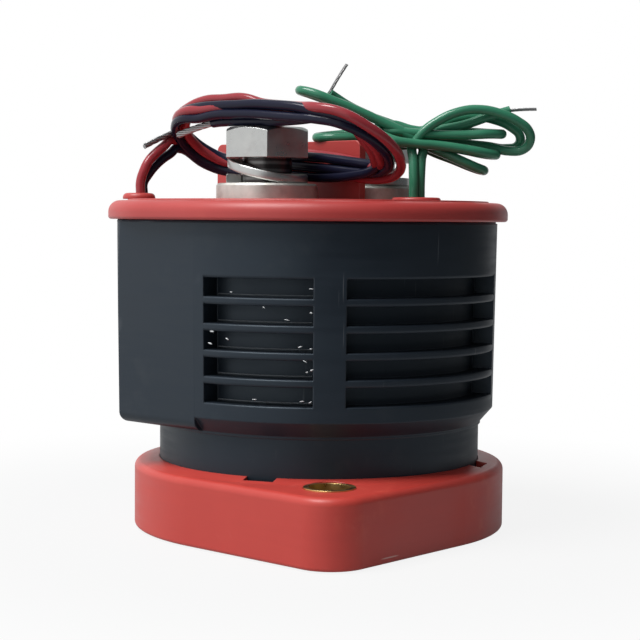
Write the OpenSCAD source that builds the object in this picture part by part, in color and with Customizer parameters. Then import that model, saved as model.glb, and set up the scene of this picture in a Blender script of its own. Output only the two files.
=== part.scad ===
// High voltage DC contactor, millimetres, +Z up.
// Origin: centre of the base's underside, on the axis of the round housing.
// The two terminals lie on X, the mounting holes on the diagonal of the (-X,-Y) corner.

/* [Base] */
// Width across the flats of the square base
base_side = 62; // [58:0.5:70]
// Height of the base
base_h = 10.8; // [9:0.1:16]
// Corner radius at the two mounting corners
base_corner_r = 6.4; // [5:0.1:9]
// Fillet along the base's top edge
base_edge_r = 1.2; // [0.5:0.1:1.6]
// Rounding along the base's bottom edge
base_foot_r = 0.5; // [0.2:0.1:0.8]
// Thickness of the base under the housing
base_floor = 4; // [2.5:0.1:5]
// Height of the sloping collar round the neck
collar_h = 0.55; // [0.2:0.05:1]
// Width of that collar
collar_w = 3; // [2:0.1:3.4]
// Pitch circle of the two mounting holes
mount_pcd = 63.5; // [62.6:0.1:66]
// Bore of the brass bushes
bush_bore = 6.4; // [4.5:0.1:6.6]
// Outside diameter of the brass bushes
bush_od = 8; // [7.4:0.1:8.6]
// How far a bush stands above the base
bush_proud = 0.2; // [0:0.05:0.5]

/* [Housing] */
// Radius of the round body at its top
body_r = 29.5; // [29:0.1:30.5]
// How much smaller the body is at its bottom, on the radius
body_draft = 0.4; // [0.1:0.05:0.8]
// Height of the housing's top edge above the mounting plane
body_top = 50.5; // [50:0.1:60]
// Radius of the neck that stands in the base
neck_r = 26.8; // [26.3:0.1:27.2]
// Height where the neck ends and the body begins
neck_top = 17.8; // [15:0.1:20]
// Height of the chamfer between neck and body
chamfer_h = 2.3; // [1.5:0.1:3.5]
// Radius of the round inner space
cavity_r = 24.3; // [24.1:0.1:24.6]
// Thickness of the housing's floor
housing_floor = 2; // [1.5:0.1:2.5]
// Distance from the axis to the flat across the squared corner
corner_reach = 33.5; // [32.5:0.1:35]
// Edge radius at the ends of that flat
corner_edge_r = 2.5; // [1:0.1:4]
// Rounding along the bottom of the squared corner
corner_foot_r = 1.7; // [0.8:0.1:2.2]
// Wall thickness of the squared corner
corner_wall = 2; // [1.5:0.1:2.6]
// Number of pockets one above the other
pocket_rows = 5; // [3:1:6]
// Height of the lowest pocket's lower edge
pocket_bottom = 22.6; // [21.5:0.1:25]
// Height of one pocket
pocket_h = 2.92; // [2.2:0.02:3.2]
// Thickness of the bar between two pockets
bar_t = 1.2; // [0.8:0.1:1.6]
// Depth of the pockets
pocket_depth = 3.3; // [1:0.1:3.6]
// Rounding of the bars' edges
bar_edge_r = 0.35; // [0.1:0.05:0.4]
// Width of a bayonet lug
lug_w = 4.5; // [3:0.1:6]
// How far a lug stands out of the neck
lug_out = 1.6; // [1:0.1:2]
// Height of a lug
lug_h = 3; // [2:0.1:4]

/* [Cover] */
// Radius of the round part of the cover
cover_r = 31.2; // [30.5:0.1:33]
// Corner radius of the cover over the squared corner
cover_corner_r = 20.9; // [16:0.1:24]
// Thickness of the cover's rim
cover_t = 3.4; // [3:0.1:5]
// Rounding of the rim's top edge
cover_edge_r = 1.9; // [1:0.1:2]
// Rounding of the rim's bottom edge
cover_foot_r = 0.5; // [0.2:0.1:0.6]
// How far the rim's underside stands above the housing
rim_lift = 0.3; // [0.1:0.05:0.4]
// Height of the raised field on the cover
field_h = 0.25; // [0.1:0.05:0.5]
// Width of the rim around the raised field
field_rim = 3.2; // [2.2:0.1:4]
// Thickness of the barrier wall
barrier_t = 1.4; // [1:0.1:2.4]
// Height of the barrier wall above the raised field
barrier_h = 9.85; // [6:0.05:14]
// Near end of the barrier wall
barrier_front = 9.1; // [8:0.1:20]
// Far end of the barrier wall
barrier_back = 24.1; // [12:0.1:25.5]
// Rounding of the barrier wall's top corners
barrier_corner_r = 1.2; // [0.5:0.1:3]

/* [Terminals] */
// Distance between the two terminals
terminal_pitch = 26.2; // [25.6:0.1:26.6]
// Diameter of the round terminal pad
pad_d = 16.4; // [14:0.1:17.5]
// Height of the pad above the cover
pad_h = 2.55; // [1.5:0.05:4]
// Diameter of the post below the pad
post_d = 12; // [11:0.1:13]
// Thread diameter of the terminal bolts
bolt_d = 8; // [6:1:8]
// Length of the bolts under the head
bolt_len = 16; // [12:1:18]
// Width across the flats of the bolt heads
bolt_af = 13; // [12:0.5:14]
// Height of the bolt heads
bolt_head_h = 4.9; // [4:0.1:6]
// Radial width of the spring washers
washer_w = 2.5; // [2:0.1:3]
// Thickness of the spring washers
washer_t = 1.6; // [1.4:0.05:2]
// Free height of the spring washers
washer_free_h = 4.1; // [3.9:0.1:5]

/* [Magnet system] */
// Outside radius of the yoke cup
yoke_r = 23.5; // [23:0.1:23.8]
// Wall thickness of the yoke cup
yoke_wall = 2; // [1.5:0.1:2.4]
// Height of the yoke cup
yoke_h = 20.5; // [19:0.1:21]
// Thickness of the yoke's top plate
top_plate_t = 2.5; // [2:0.1:3]
// Radius of the plunger and of the fixed core
plunger_r = 7.5; // [6.5:0.1:8]
// Length of the plunger
plunger_len = 7.9; // [7:0.1:8.5]
// Travel of the plunger
plunger_travel = 2.2; // [2:0.05:2.3]
// Air left between plunger and core when closed
closed_gap = 0.2; // [0.1:0.05:0.4]
// Radius of the drive shaft
shaft_r = 2; // [1.6:0.05:2.3]
// Wall thickness of the plunger's guide cup
guide_wall = 0.5; // [0.3:0.05:0.7]
// Thickness of the bobbin's tube and flanges
bobbin_wall = 1.1; // [0.8:0.1:1.5]
// Radius of the return spring's coil
return_coil_r = 3.1; // [2.9:0.05:3.3]
// Wire diameter of the return spring
return_wire_d = 0.7; // [0.5:0.05:0.8]
// Depth of the return spring's seat in the plunger
plunger_seat_depth = 3; // [2:0.1:4]
// Depth of the return spring's seat in the core
core_seat_depth = 3; // [2:0.1:4]

/* [Contacts] */
// Open gap between the bridge and the posts
contact_gap = 1.5; // [1.2:0.05:1.8]
// Half length of the contact bridge
bridge_half_l = 18; // [16:0.1:18.6]
// Half width of the contact bridge
bridge_half_w = 5; // [4:0.1:6]
// Thickness of the contact bridge
bridge_t = 2; // [1.5:0.1:2.5]
// Length of the contact spring when open
contact_spring_l = 4.6; // [4.4:0.1:5]
// Wire diameter of the contact spring
contact_wire_d = 0.7; // [0.5:0.05:0.8]
// Thickness of the spring seat on the shaft
seat_t = 0.8; // [0.6:0.1:1]
// Half length of the arc chamber, outside
chamber_half_l = 21; // [20.5:0.1:21.3]
// Half width of the arc chamber, outside
chamber_half_w = 11; // [9:0.1:11.4]
// Height of the arc chamber
chamber_h = 20; // [19.5:0.1:20.2]
// Wall thickness of the arc chamber
chamber_wall = 2; // [1.5:0.1:2.2]
// Half length of a blow-out magnet
magnet_half_l = 8; // [6:0.5:10]
// Thickness of a blow-out magnet
magnet_t = 3; // [2:0.1:4]
// Thickness of the steel clip round the magnets
clip_t = 1; // [0.6:0.1:1.2]

/* [Leads] */
// Outside diameter of a lead
lead_d = 1.6; // [1.2:0.1:1.8]
// Diameter of the coil lead grommet's flange
coil_grommet_d = 5.4; // [4.8:0.1:7]
// Diameter of the auxiliary lead grommet's flange
aux_grommet_d = 8.1; // [5:0.1:8.4]
// Height of the coil lead grommet's flange
coil_grommet_h = 1; // [0.6:0.1:1.6]
// Height of the auxiliary lead grommet's flange
aux_grommet_h = 0.6; // [0.4:0.1:1.6]
// Thickness of the wound lead coil and of its ring
coil_section = 3.2; // [3:0.1:4]

/* [Hidden] */

$fn = 64;

// Clearances
fit = 0.05;          // pieces that are fitted into each other
seat_gap = 0.1;      // pieces that are set beside each other
run = 0.08;          // running clearance on the radius
eps = 0.01;          // overlap of joined solids
cut_over = 1;        // overshoot of a cut
seat_lift = 0.6;     // contact spring's seat above the yoke's top plate

// Colours
red_plastic = [0.80, 0.20, 0.19];
black_plastic = [0.12, 0.13, 0.15];
nickel = [0.78, 0.77, 0.74];
brass = [0.76, 0.60, 0.30];
steel = [0.62, 0.63, 0.65];
copper = [0.78, 0.48, 0.32];
ceramic = [0.93, 0.92, 0.88];
nylon = [0.88, 0.86, 0.78];
lead_red = [0.70, 0.16, 0.18];
lead_black = [0.06, 0.06, 0.08];
lead_green = [0.10, 0.42, 0.25];
tin = [0.45, 0.46, 0.47];
board_green = [0.10, 0.35, 0.20];
ferrite = [0.25, 0.25, 0.27];

// Levels
housing_bottom = base_floor;
inner_floor = housing_bottom + housing_floor;
chamfer_top = neck_top + chamfer_h;
cover_top = body_top + cover_t;
field_top = cover_top + field_h;
pad_top = field_top + pad_h;
bolt_seat = pad_top + washer_free_h;
yoke_top = inner_floor + yoke_h;
plate_top = yoke_top + top_plate_t;
guide_bottom = inner_floor + yoke_wall;
plunger_bottom = guide_bottom + guide_wall + seat_gap;
plunger_top = plunger_bottom + plunger_len;
core_bottom = plunger_top + plunger_travel + closed_gap;
seat_bottom = plate_top + seat_lift;
seat_top = seat_bottom + seat_t;
bridge_bottom = seat_top + contact_spring_l;
bridge_top = bridge_bottom + bridge_t;
post_bottom = bridge_top + contact_gap;
chamber_top = plate_top + chamber_h;

// Base
base_half = base_side / 2;
mount_r = mount_pcd / 2;
mount_angles = [45, 225];
lug_angles = [23, 113, 203, 293];
lug_drop = 1.2;                          // lug top below the base's top
lug_top = base_h - lug_drop;
lug_root = 1;                            // lug inside the neck's wall
slot_side = 0.2;                         // room round a lug in its slot

// Pockets of the housing: start angle and sweep of each group
column_half = 4.9;                       // narrow column over a mounting corner, degrees
wide_half = 17;                          // wide column opposite the squared corner, degrees
flat_margin = 4;                         // from the squared corner's flat to the pockets, degrees
short_span = 45 - column_half - flat_margin;
long_span = 90 - column_half - wide_half;
pocket_spans = [
    [45 + column_half, short_span],
    [wide_half - 45, long_span],
    [225 + column_half, long_span],
    [180 + flat_margin, short_span]];
bar_edge_fn = 16;
lip = 0.3;                               // small step under the chamfer
lip_h = 0.4;

// Cover
field_edge_r = 0.15;
seat_inset = 2.6;                        // seat of the cover inside its rim
seat_bond = 0.5;                         // that seat inside the rim's plate
spigot_h = 1.2;
spigot_t = 1.4;
aux_grommet_at = [7.4, -14.5];
coil_grommet_in = [9.8, 9.6];            // grommet from the cover's edges
coil_grommet_at = [coil_grommet_in[0] - cover_r, cover_r - coil_grommet_in[1]];
stem_share = 0.5;                        // grommet stem against its flange
grommet_round = 0.75;                    // rounding of a flange against its height

// Terminals
post_chamfer = 0.6;
pad_chamfer = 0.35;
thread_spare = 1.5;                      // free thread below the bolt's end
thread_depth = bolt_len - washer_free_h + thread_spare;
head_face_share = 0.94;                  // round top face of a bolt head against its flats
head_chamfer = 30;                       // degrees
bolt_turn = [43.8, 20];                  // corner angle of each bolt head
washer_turn = [140, 60];                 // lower end of each split washer
washer_split = 14;                       // opening of the split, degrees
washer_flat = 0.72;                      // share of a washer that lies on its pad
washer_curl = 1.2;                       // how its free end bends up
washer_steps = 40;

// Magnet system
guide_inner_r = plunger_r + run;
guide_outer_r = guide_inner_r + guide_wall;
core_neck_r = 5;
spring_seat_r = 3.9;                     // pocket for the return spring
bobbin_inner_r = guide_outer_r + seat_gap;
flange_gap = 0.5;                        // bobbin flange to the yoke's wall
bobbin_flange_r = yoke_r - yoke_wall - flange_gap;
winding_sink = 1;                        // winding inside the flange's edge
winding_r = bobbin_flange_r - winding_sink;
contact_coil_r = 3.1;
return_turns = 6;
contact_turns = 4;
spring_steps = 14;                       // rings in one turn of a spring
spring_sides = 6;
seat_r = 4;
clip_ring_r = 3.4;
clip_ring_t = 0.8;
shaft_foot = 1.5;                        // shaft above the plunger's underside
shaft_over = 0.4;                        // shaft above the retaining clip
magnet_h = 14;
clip_half_l = 6;
board_t = 1.6;
board_back = 1.5;                        // board to the squared corner's flat
board_side = 0.7;                        // board's edges to the walls beside it
board_head = 6.7;                        // room between the board and the cover
board_half_w = 8;
board_at = min(corner_reach - body_draft - corner_wall - board_back - board_t,
    (body_r - body_draft - corner_wall) * sqrt(2) - board_half_w - board_t - board_side);
board_h = body_top - neck_top - corner_wall - board_head;
reed_d = 2.4;
reed_l = 14;
reed_foot = [16, 4, 2];
reed_sink = 0.4;                         // reed in its carrier
reed_y = -18.5;

// Leads: places chosen by hand along their free stretch
red_route = [[-21.8, 20.8, 55.15], [-21.8, 20.8, 57], [-21.3, 20.5, 58.9], [-20.4, 20.3, 60.5],
    [-19, 20, 61.9], [-17.3, 19.9, 63.1], [-15.6, 20, 64.2], [-14, 20.2, 65.2]];
black_route = [[-20.3, 21.8, 55.15], [-20.3, 21.8, 56.8], [-19.6, 21.4, 58.2], [-18.5, 20.9, 59.7],
    [-17.1, 20.6, 60.9], [-15.5, 20.3, 61.9], [-14, 20.3, 62.8], [-12.5, 20.3, 63.7]];
green_a_route = [[6.6, -14.4, 54.75], [6.6, -14.4, 57], [6.9, -14.1, 59], [7.5, -13.5, 61],
    [8.2, -12.9, 63.2]];
green_b_route = [[8.6, -14.5, 54.75], [8.6, -14.5, 57], [8.7, -14.4, 59], [9.1, -14.2, 61],
    [9.6, -13.9, 63.2]];
lead_sides = 8;
side_ref = [0.3, 0.9, 0.1];              // direction that no route follows

// Wound coil of the red and black leads, leaning on the front bolt
coil_at = [-10.9, -0.7, 64.2];
coil_turn = [5, 29, 95];                 // rise of the long axis, lean and plan angle
coil_half_l = 21;
coil_half_w = 8.2;

// Hank of the green leads
hank_at = [10, -12.4, 67.4];
hank_plan = -47.7;
hank_drop = 7;                           // fall of the hank's long axis, degrees
hank_straight = 30.2;
hank_r = 4.7;
hank_t = 5.2;

// Stripped ends: foot, plan angle, elevation and length
coil_tip_d = 1.1;
aux_tip_d = 0.7;
red_tip = [[-14.6, 18.9, 65.9], 166.8, -21, 7.5];
black_tip = [[-18, 7.4, 66.5], 89, -8.7, 8.6];
green_a_tip = [[0.2, -1.5, 72], -47.7, 62, 5.6];
green_b_tip = [[20.5, -23.8, 69.4], -47.7, 6, 4.4];

// Half section of a plate with a rounded top and bottom edge
module rim_section(reach, h, top_r, foot_r) {
    square([reach - top_r, h]);
    square([reach - foot_r, h - top_r]);
    translate([0, foot_r]) square([reach, h - top_r - foot_r]);
    translate([reach - top_r, h - top_r]) intersection() {
        circle(top_r);
        square(top_r);
    }
    if (foot_r > 0) translate([reach - foot_r, foot_r]) circle(foot_r);
}

// Quarter of a round plate, from +X to +Y
module round_quarter(r, h, top_r, foot_r) {
    rotate_extrude(angle = 90) rim_section(r, h, top_r, foot_r);
}

// Quarter of a square plate with one rounded corner, from +X to +Y
module square_quarter(half, corner_r, h, top_r, foot_r) {
    module side() {
        translate([0, half - corner_r, 0]) rotate([90, 0, 0])
            linear_extrude(half - corner_r) rim_section(half, h, top_r, foot_r);
    }
    side();
    mirror([1, -1, 0]) side();
    translate([half - corner_r, half - corner_r, 0]) round_quarter(corner_r, h, top_r, foot_r);
}

module ring(outer_r, inner_r, h) {
    difference() {
        cylinder(r = outer_r, h = h);
        translate([0, 0, -eps]) cylinder(r = inner_r, h = h + 2 * eps);
    }
}

// Places its children at each mounting hole
module at_mounts() {
    for (a = mount_angles) rotate(a) translate([mount_r, 0, 0]) children();
}

// Places its children at each bayonet lug, on the axis and turned
module at_lugs() {
    for (a = lug_angles) rotate(a) children();
}

// Places its children at each terminal, numbered in $end
module at_terminals() {
    for ($end = [0, 1]) translate([($end - 0.5) * terminal_pitch, 0, 0]) children();
}

function unit(v) = v / norm(v);
function tangent(route, i) =
    unit(route[min(i + 1, len(route) - 1)] - route[max(i - 1, 0)]);
function ring_points(p, t, r, sides, ref) =
    let (u = unit(cross(t, ref)), w = cross(t, u))
    [for (k = [0:sides - 1]) p + r * (cos(360 * k / sides) * u + sin(360 * k / sides) * w)];

// Side faces and end caps of a row of rings with the same number of points
function skin_faces(rings, sides) = concat(
    [[for (k = [0:sides - 1]) k]],
    [for (i = [0:rings - 2], k = [0:sides - 1])
        let (a = i * sides + k, b = i * sides + (k + 1) % sides) [a, a + sides, b + sides, b]],
    [[for (k = [0:sides - 1]) rings * sides - 1 - k]]);

// Round tube along a route
module tube(route, d) {
    points = [for (i = [0:len(route) - 1])
        each ring_points(route[i], tangent(route, i), d / 2, lead_sides, side_ref)];
    polyhedron(points, skin_faces(len(route), lead_sides), convexity = 4);
}

// Wire wound on a helix, standing on z = 0
module helical_spring(coil_r, wire_d, free_l, turns) {
    count = turns * spring_steps;
    rise = free_l - wire_d;
    route = [for (i = [0:count]) let (a = 360 * i / spring_steps)
        [coil_r * cos(a), coil_r * sin(a), wire_d / 2 + rise * i / count]];
    points = [for (i = [0:count])
        each ring_points(route[i], tangent(route, i), wire_d / 2, spring_sides, [0, 0, 1])];
    polyhedron(points, skin_faces(count + 1, spring_sides), convexity = 8);
}

module mounting_base() {
    recess_r = neck_r + fit;
    color(red_plastic) difference() {
        union() {
            for (q = [0:3]) rotate(90 * q)
                if (q % 2 == 0)
                    square_quarter(base_half, base_corner_r, base_h, base_edge_r, base_foot_r);
                else
                    round_quarter(base_half, base_h, base_edge_r, base_foot_r);
            translate([0, 0, base_h - eps])
                cylinder(r1 = neck_r + collar_w, r2 = neck_r, h = collar_h + eps);
        }
        translate([0, 0, base_floor]) cylinder(r = recess_r, h = 2 * base_h);
        at_mounts() translate([0, 0, -eps]) cylinder(d = bush_od + 2 * fit, h = 2 * base_h);
        at_lugs() translate([neck_r - lug_root, -lug_w / 2 - slot_side, lug_top - lug_h - slot_side])
            cube([lug_root + lug_out + slot_side, lug_w + 2 * slot_side, 2 * base_h]);
    }
}

module mounting_bushes() {
    color(brass) at_mounts() ring(bush_od / 2, bush_bore / 2, base_h + bush_proud);
}

// Section of the squared corner towards one of its flats
module corner_section(reach) {
    h = body_top - neck_top;
    slope = atan(body_draft / h);
    polygon([[0, 0], [reach - body_draft - corner_foot_r, 0],
        [reach - body_draft - corner_foot_r + corner_foot_r * cos(slope), corner_foot_r],
        [reach, h], [0, h]]);
    translate([reach - body_draft - corner_foot_r, corner_foot_r]) circle(corner_foot_r);
}

// Outline of the squared corner in the (+X,+Y) quarter, with its two rounded edges
module corner_outline(half, reach, r) {
    along = (reach - r) * sqrt(2) - (half - r);
    slant = r / sqrt(2);
    for (p = [[half - r, along], [along, half - r]]) translate(p) circle(r);
    polygon([[0, 0], [half, 0], [half, along], [half - r + slant, along + slant],
        [along + slant, half - r + slant], [along, half], [0, half]]);
}

// The squared corner stands in the (-X,+Y) quarter
module squared_corner() {
    module slab(angle, reach) {
        rotate(angle) translate([0, 2 * body_r, neck_top]) rotate([90, 0, 0])
            linear_extrude(4 * body_r) corner_section(reach);
    }
    rotate(90) intersection() {
        translate([0, 0, neck_top]) linear_extrude(body_top - neck_top)
            corner_outline(body_r, corner_reach, corner_edge_r);
        slab(0, body_r);
        slab(90, body_r);
        slab(45, corner_reach);
    }
}

module corner_hollow() {
    rotate(90) translate([0, 0, neck_top + corner_wall])
        linear_extrude(body_top)
            corner_outline(body_r - body_draft - corner_wall, corner_reach - body_draft - corner_wall,
                corner_edge_r);
}

// Radius of the drafted body at a height
function wall_r(z) = body_r - body_draft * (body_top - z) / (body_top - chamfer_top);

// Section of a pocket, its mouth rounded onto the bars above and below
module pocket_section(mouth_r) {
    translate([mouth_r - pocket_depth, 0]) square([pocket_depth + cut_over, pocket_h]);
    difference() {
        translate([mouth_r - bar_edge_r, -bar_edge_r])
            square([bar_edge_r + cut_over, pocket_h + 2 * bar_edge_r]);
        for (z = [-bar_edge_r, pocket_h + bar_edge_r])
            translate([mouth_r - bar_edge_r, z]) circle(bar_edge_r, $fn = bar_edge_fn);
    }
}

module housing() {
    color(black_plastic) difference() {
        union() {
            translate([0, 0, housing_bottom]) cylinder(r = neck_r, h = neck_top - housing_bottom + eps);
            translate([0, 0, neck_top - lip_h]) cylinder(r = neck_r + lip, h = lip_h + eps);
            rotate(180) rotate_extrude(angle = 270)
                polygon([[0, neck_top], [neck_r + lip, neck_top], [body_r - body_draft, chamfer_top],
                    [body_r, body_top], [0, body_top]]);
            squared_corner();
            at_lugs() translate([neck_r - lug_root, -lug_w / 2, lug_top - lug_h])
                cube([lug_root + lug_out, lug_w, lug_h]);
        }
        translate([0, 0, inner_floor]) cylinder(r = cavity_r, h = body_top);
        corner_hollow();
        for (span = pocket_spans, row = [0:pocket_rows - 1])
            let (z = pocket_bottom + row * (pocket_h + bar_t))
            translate([0, 0, z]) rotate(span[0]) rotate_extrude(angle = span[1])
                pocket_section(wall_r(z + pocket_h / 2));
    }
}

module barrier_wall() {
    top = field_top + barrier_h;
    translate([barrier_t / 2, 0, 0]) rotate([90, 0, -90]) linear_extrude(barrier_t) {
        translate([-barrier_back, cover_top - eps]) square([barrier_back + barrier_front,
            top - cover_top + eps - barrier_corner_r]);
        translate([-barrier_back + barrier_corner_r, cover_top])
            square([barrier_back + barrier_front - 2 * barrier_corner_r, top - cover_top]);
        for (y = [-barrier_back + barrier_corner_r, barrier_front - barrier_corner_r])
            translate([y, top - barrier_corner_r]) circle(barrier_corner_r);
    }
}

// Plate of the cover's outline, drawn in by an inset
module cover_plate(inset, h, top_r, foot_r) {
    for (q = [0:3]) rotate(90 * q)
        if (q == 1)
            square_quarter(cover_r - inset, cover_corner_r - inset, h, top_r, foot_r);
        else
            round_quarter(cover_r - inset, h, top_r, foot_r);
}

module top_cover() {
    color(red_plastic) difference() {
        union() {
            translate([0, 0, body_top + rim_lift])
                cover_plate(0, cover_t - rim_lift, cover_edge_r, cover_foot_r);
            translate([0, 0, body_top]) cover_plate(seat_inset, rim_lift + seat_bond, field_edge_r, 0);
            translate([0, 0, cover_top - eps]) cover_plate(field_rim, field_h + eps, field_edge_r, 0);
            translate([0, 0, body_top - spigot_h])
                ring(cavity_r - seat_gap, cavity_r - seat_gap - spigot_t, spigot_h + eps);
            barrier_wall();
        }
        at_terminals() translate([0, 0, body_top - spigot_h])
            cylinder(d = post_d + 2 * seat_gap, h = 2 * cover_t);
        for (g = [[coil_grommet_at, coil_grommet_d], [aux_grommet_at, aux_grommet_d]])
            translate([g[0][0], g[0][1], body_top - eps])
                cylinder(d = g[1] * stem_share + 2 * fit, h = 2 * cover_t);
    }
}

// Lead outlet: a low flange on the cover with a stem through it
module grommet(d, h) {
    translate([0, 0, field_top]) rotate_extrude() rim_section(d / 2, h, h * grommet_round, 0);
    translate([0, 0, body_top]) cylinder(d = d * stem_share, h = field_top - body_top + eps);
}

module coil_lead_grommet() {
    color(red_plastic) translate(coil_grommet_at) grommet(coil_grommet_d, coil_grommet_h);
}

module aux_lead_grommet() {
    color(red_plastic) translate(aux_grommet_at) grommet(aux_grommet_d, aux_grommet_h);
}

module terminal() {
    pad_r = pad_d / 2;
    post_r = post_d / 2;
    difference() {
        rotate_extrude() polygon([[0, post_bottom], [post_r - post_chamfer, post_bottom],
            [post_r, post_bottom + post_chamfer], [post_r, field_top], [pad_r, field_top],
            [pad_r, pad_top - pad_chamfer], [pad_r - pad_chamfer, pad_top], [0, pad_top]]);
        translate([0, 0, pad_top - thread_depth]) cylinder(r = bolt_d / 2 + fit, h = thread_depth + eps);
    }
}

module positive_terminal() {
    color(nickel) translate([-terminal_pitch / 2, 0, 0]) terminal();
}

module negative_terminal() {
    color(nickel) translate([terminal_pitch / 2, 0, 0]) terminal();
}

module hex_bolt() {
    across_corners = bolt_af / cos(30);
    face_r = bolt_af / 2 * head_face_share;
    translate([0, 0, -bolt_len]) cylinder(d = bolt_d, h = bolt_len + eps);
    intersection() {
        cylinder(d = across_corners, h = bolt_head_h, $fn = 6);
        cylinder(r1 = face_r + bolt_head_h / tan(head_chamfer), r2 = face_r, h = bolt_head_h);
    }
}

module terminal_bolts() {
    color(nickel) at_terminals() translate([0, 0, bolt_seat]) rotate(bolt_turn[$end]) hex_bolt();
}

// Split washer: a flat bar on one turn, its free end bent up
module spring_washer() {
    inner_r = bolt_d / 2 + fit;
    rise = washer_free_h - washer_t;
    points = [for (i = [0:washer_steps])
        let (f = i / washer_steps, a = (washer_split - 360) * f,
            z = rise * pow(max(0, f - washer_flat) / (1 - washer_flat), washer_curl))
        for (corner = [[0, 0], [0, washer_t], [washer_w, washer_t], [washer_w, 0]])
            [(inner_r + corner[0]) * cos(a), (inner_r + corner[0]) * sin(a), z + corner[1]]];
    polyhedron(points, skin_faces(washer_steps + 1, 4), convexity = 4);
}

module spring_washers() {
    color(nickel) at_terminals() translate([0, 0, pad_top]) rotate(washer_turn[$end]) spring_washer();
}

module yoke_cup() {
    color(steel) difference() {
        translate([0, 0, inner_floor]) cylinder(r = yoke_r, h = yoke_h);
        translate([0, 0, guide_bottom]) cylinder(r = yoke_r - yoke_wall, h = yoke_h);
    }
}

module yoke_top_plate() {
    color(steel) translate([0, 0, yoke_top]) ring(yoke_r, core_neck_r + fit, top_plate_t);
}

module coil_bobbin() {
    h = yoke_top - guide_bottom - seat_gap;
    color(nylon) translate([0, 0, guide_bottom]) difference() {
        union() {
            cylinder(r = bobbin_inner_r + bobbin_wall, h = h);
            for (z = [0, h - bobbin_wall]) translate([0, 0, z])
                cylinder(r = bobbin_flange_r, h = bobbin_wall);
        }
        translate([0, 0, -eps]) cylinder(r = bobbin_inner_r, h = h + 2 * eps);
    }
}

module coil_winding() {
    h = yoke_top - guide_bottom - seat_gap - 2 * bobbin_wall - 2 * fit;
    color(copper) translate([0, 0, guide_bottom + bobbin_wall + fit])
        ring(winding_r, bobbin_inner_r + bobbin_wall + fit, h);
}

module coil_board() {
    color(board_green) rotate(135)
        translate([board_at, -board_half_w, neck_top + corner_wall])
            cube([board_t, 2 * board_half_w, board_h]);
}

module plunger_guide_cup() {
    color(steel) translate([0, 0, guide_bottom]) difference() {
        cylinder(r = guide_outer_r, h = yoke_top - guide_bottom);
        translate([0, 0, guide_wall]) cylinder(r = guide_inner_r, h = yoke_h);
    }
}

module fixed_core() {
    color(steel) difference() {
        union() {
            translate([0, 0, core_bottom]) cylinder(r = plunger_r, h = yoke_top - core_bottom);
            translate([0, 0, core_bottom]) cylinder(r = core_neck_r, h = plate_top - core_bottom);
        }
        translate([0, 0, core_bottom - eps]) cylinder(r = shaft_r + run, h = plate_top);
        translate([0, 0, core_bottom - eps]) cylinder(r = spring_seat_r, h = core_seat_depth + eps);
    }
}

module plunger() {
    color(steel) difference() {
        translate([0, 0, plunger_bottom]) cylinder(r = plunger_r, h = plunger_len);
        translate([0, 0, plunger_bottom + shaft_foot]) cylinder(r = shaft_r + fit, h = plunger_len);
        translate([0, 0, plunger_top - plunger_seat_depth]) cylinder(r = spring_seat_r, h = plunger_len);
    }
}

module drive_shaft() {
    top = bridge_top + seat_gap + clip_ring_t + shaft_over;
    color(steel) translate([0, 0, plunger_bottom + shaft_foot])
        cylinder(r = shaft_r, h = top - plunger_bottom - shaft_foot);
}

module return_spring() {
    bottom = plunger_top - plunger_seat_depth;
    length = core_bottom + core_seat_depth - bottom;
    color(steel) translate([0, 0, bottom + fit])
        helical_spring(return_coil_r, return_wire_d, length - 2 * fit, return_turns);
}

module spring_seat() {
    color(nylon) translate([0, 0, seat_bottom]) ring(seat_r, shaft_r + fit, seat_t);
}

module contact_spring() {
    color(steel) translate([0, 0, seat_top + fit])
        helical_spring(contact_coil_r, contact_wire_d, contact_spring_l - 2 * fit, contact_turns);
}

module contact_bridge() {
    color(copper) translate([0, 0, bridge_bottom]) difference() {
        translate([-bridge_half_l, -bridge_half_w, 0]) cube([2 * bridge_half_l, 2 * bridge_half_w, bridge_t]);
        translate([0, 0, -eps]) cylinder(r = shaft_r + run, h = bridge_t + 2 * eps);
    }
}

module retaining_clip() {
    color(steel) translate([0, 0, bridge_top + seat_gap]) ring(clip_ring_r, shaft_r + fit, clip_ring_t);
}

module arc_chamber() {
    inner_l = chamber_half_l - chamber_wall;
    inner_w = chamber_half_w - chamber_wall;
    color(ceramic) translate([0, 0, plate_top]) difference() {
        translate([-chamber_half_l, -chamber_half_w, 0])
            cube([2 * chamber_half_l, 2 * chamber_half_w, chamber_h]);
        translate([-inner_l, -inner_w, -eps])
            cube([2 * inner_l, 2 * inner_w, chamber_h - chamber_wall + eps]);
        at_terminals() cylinder(d = post_d + 2 * seat_gap, h = chamber_h + cut_over);
    }
}

// Bars on both sides of the arc chamber
module beside_chamber(half_l, offset, t, z, h) {
    for (s = [-1, 1]) translate([-half_l, s * (chamber_half_w + offset + t / 2) - t / 2, z])
        cube([2 * half_l, t, h]);
}

module blowout_magnets() {
    color(ferrite) beside_chamber(magnet_half_l, fit, magnet_t, plate_top, magnet_h);
}

module magnet_clip() {
    out = chamber_half_w + 2 * fit + magnet_t + clip_t;
    color(steel) {
        beside_chamber(clip_half_l, magnet_t + 2 * fit, clip_t, plate_top, chamber_h + fit + clip_t);
        translate([-clip_half_l, -out, chamber_top + fit]) cube([2 * clip_half_l, 2 * out, clip_t]);
    }
}

// Sealed reed switch in a small carrier
module aux_switch() {
    color(nylon) translate([0, reed_y, plate_top]) {
        translate([-reed_foot[0] / 2, -reed_foot[1] / 2, 0]) cube(reed_foot);
        translate([-reed_l / 2, 0, reed_foot[2] + reed_d / 2 - reed_sink]) rotate([0, 90, 0])
            cylinder(d = reed_d, h = reed_l);
    }
}

module red_lead() {
    color(lead_red) tube(red_route, lead_d);
}

module black_lead() {
    color(lead_black) tube(black_route, lead_d);
}

module green_lead_a() {
    color(lead_green) tube(green_a_route, lead_d);
}

module green_lead_b() {
    color(lead_green) tube(green_b_route, lead_d);
}

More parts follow.
